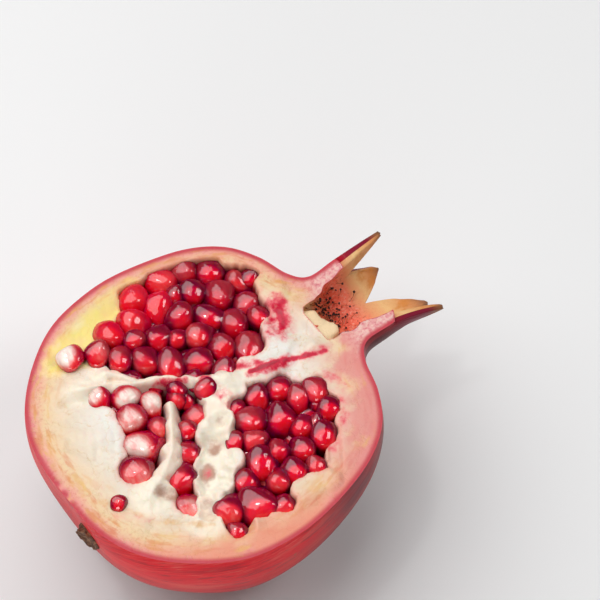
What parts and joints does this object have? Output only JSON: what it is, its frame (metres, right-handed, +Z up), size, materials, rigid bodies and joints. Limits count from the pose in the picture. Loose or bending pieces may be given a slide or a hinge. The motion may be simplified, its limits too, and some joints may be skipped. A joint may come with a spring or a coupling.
{
  "type": "halved pomegranate",
  "caption": "Half of a fresh pomegranate lying on its rind, cut face up, with its crown, stem stub and chambers of red seeds.",
  "frame": {"origin": "middle of the small flat spot of rind that the half rests on", "axes": "+X along the fruit from its stem end to its crown, +Z up and square to the cut face"},
  "size_m": [0.1186, 0.0925, 0.0561],
  "materials": {
    "husk_skin": "waxy red rind outside, matt cream pith on the cut face",
    "aril_juice": "wet, translucent crimson",
    "stem_wood": "rough dry bark",
    "dried_stamen": "dry and matt"
  },
  "bodies": {
    "root": {"aril_left_01": "aril_juice", "aril_left_02": "aril_juice", "aril_left_03": "aril_juice", "aril_left_04": "aril_juice", "aril_left_05": "aril_juice", "aril_left_06": "aril_juice", "aril_left_07": "aril_juice", "aril_loose": "aril_juice", "aril_middle_01": "aril_juice", "aril_middle_02": "aril_juice", "aril_middle_03": "aril_juice", "aril_middle_04": "aril_juice", "aril_middle_05": "aril_juice", "aril_right_01": "aril_juice", "aril_right_02": "aril_juice", "aril_right_03": "aril_juice", "aril_right_04": "aril_juice", "aril_right_05": "aril_juice", "aril_right_06": "aril_juice", "aril_right_07": "aril_juice", "aril_right_08": "aril_juice", "aril_right_09": "aril_juice", "aril_right_10": "aril_juice", "aril_right_11": "aril_juice", "aril_right_12": "aril_juice", "aril_right_13": "aril_juice", "aril_right_14": "aril_juice", "aril_right_15": "aril_juice", "aril_right_16": "aril_juice", "aril_right_17": "aril_juice", "aril_right_18": "aril_juice", "aril_right_19": "aril_juice", "aril_upper_01": "aril_juice", "aril_upper_02": "aril_juice", "aril_upper_03": "aril_juice", "aril_upper_04": "aril_juice", "aril_upper_05": "aril_juice", "aril_upper_06": "aril_juice", "aril_upper_07": "aril_juice", "aril_upper_08": "aril_juice", "aril_upper_09": "aril_juice", "aril_upper_10": "aril_juice", "aril_upper_11": "aril_juice", "aril_upper_12": "aril_juice", "aril_upper_13": "aril_juice", "aril_upper_14": "aril_juice", "aril_upper_15": "aril_juice", "aril_upper_16": "aril_juice", "aril_upper_17": "aril_juice", "aril_upper_18": "aril_juice", "aril_upper_19": "aril_juice", "aril_upper_20": "aril_juice", "aril_upper_21": "aril_juice", "aril_upper_22": "aril_juice", "aril_upper_23": "aril_juice", "aril_upper_24": "aril_juice", "aril_upper_25": "aril_juice", "husk_half": "husk_skin", "stamen_ring": "dried_stamen", "stem_stub": "stem_wood"}
  },
  "joints": []
}
